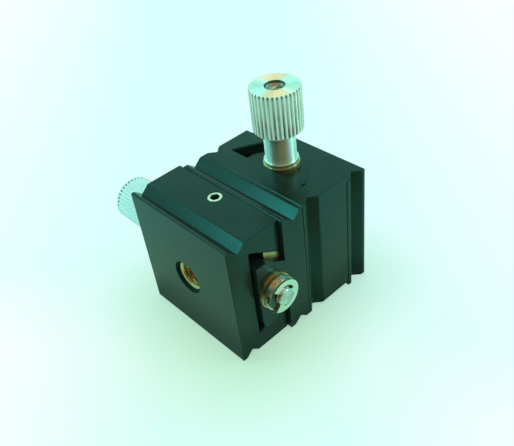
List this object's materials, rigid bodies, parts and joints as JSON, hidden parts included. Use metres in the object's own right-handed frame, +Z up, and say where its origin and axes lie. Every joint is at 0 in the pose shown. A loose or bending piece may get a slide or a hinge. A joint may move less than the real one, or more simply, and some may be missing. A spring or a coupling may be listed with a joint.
{
  "type": "xy translation stage",
  "caption": "Stacked dovetail slides at right angles form an xy translation stage with V-grooved square bodies, gibs, lead screws and knurled knobs.",
  "frame": {"origin": "middle of the base's square mounting face, on the axis of its mounting thread", "axes": "+X is the first slide's travel, away from its knob; +Y runs from the mounting face to the platform; +Z is up and is the second slide's travel, towards its knob"},
  "size_m": [0.0553, 0.0401, 0.0553],
  "materials": {
    "black_body": "black anodised, satin",
    "bright_nickel": "nickel plated, bright",
    "steel": "turned",
    "brass": "turned and drawn"
  },
  "bodies": {
    "base": {"x_base": "black_body", "x_drive_nut": "brass", "x_gib": "brass", "x_gib_screw": "bright_nickel"},
    "cross_slide": {"x_carriage": "black_body", "x_knob_bush": "brass", "x_end_bush": "brass", "joining_screw": "steel", "z_base": "black_body", "z_drive_nut": "brass", "z_gib": "brass", "z_gib_screw": "bright_nickel"},
    "x_spindle": {"x_lead_screw": "steel", "x_knob": "bright_nickel", "x_knob_screw": "steel", "x_thrust_washer": "bright_nickel", "x_spring_washer": "bright_nickel", "x_end_washer": "bright_nickel", "x_end_clip": "steel"},
    "platform": {"z_carriage": "black_body", "z_knob_bush": "brass", "z_end_bush": "brass"},
    "z_spindle": {"z_lead_screw": "steel", "z_knob": "bright_nickel", "z_knob_screw": "steel", "z_thrust_washer": "bright_nickel", "z_spring_washer": "bright_nickel", "z_end_washer": "bright_nickel", "z_end_clip": "steel"}
  },
  "joints": [
    {"name": "x_slide", "type": "slide", "parent": "base", "child": "cross_slide", "axis": [1, 0, 0], "range_m": [-0.00438, 0.00198]},
    {"name": "x_knob_turn", "type": "hinge", "parent": "cross_slide", "child": "x_spindle", "pos_m": [0, 0.01, 0], "axis": [1, 0, 0], "range_deg": [-2481, 1120]},
    {"name": "z_slide", "type": "slide", "parent": "cross_slide", "child": "platform", "axis": [0, 0, 1], "range_m": [-0.00168, 0.00468]},
    {"name": "z_knob_turn", "type": "hinge", "parent": "platform", "child": "z_spindle", "pos_m": [0.0012, 0.03005, 0], "axis": [0, 0, 1], "range_deg": [-950, 2651]}
  ],
  "couplings": [
    {"joint": "x_knob_turn", "follows": "x_slide", "rad_per_m": 9894.8},
    {"joint": "z_knob_turn", "follows": "z_slide", "rad_per_m": 9894.8}
  ]
}
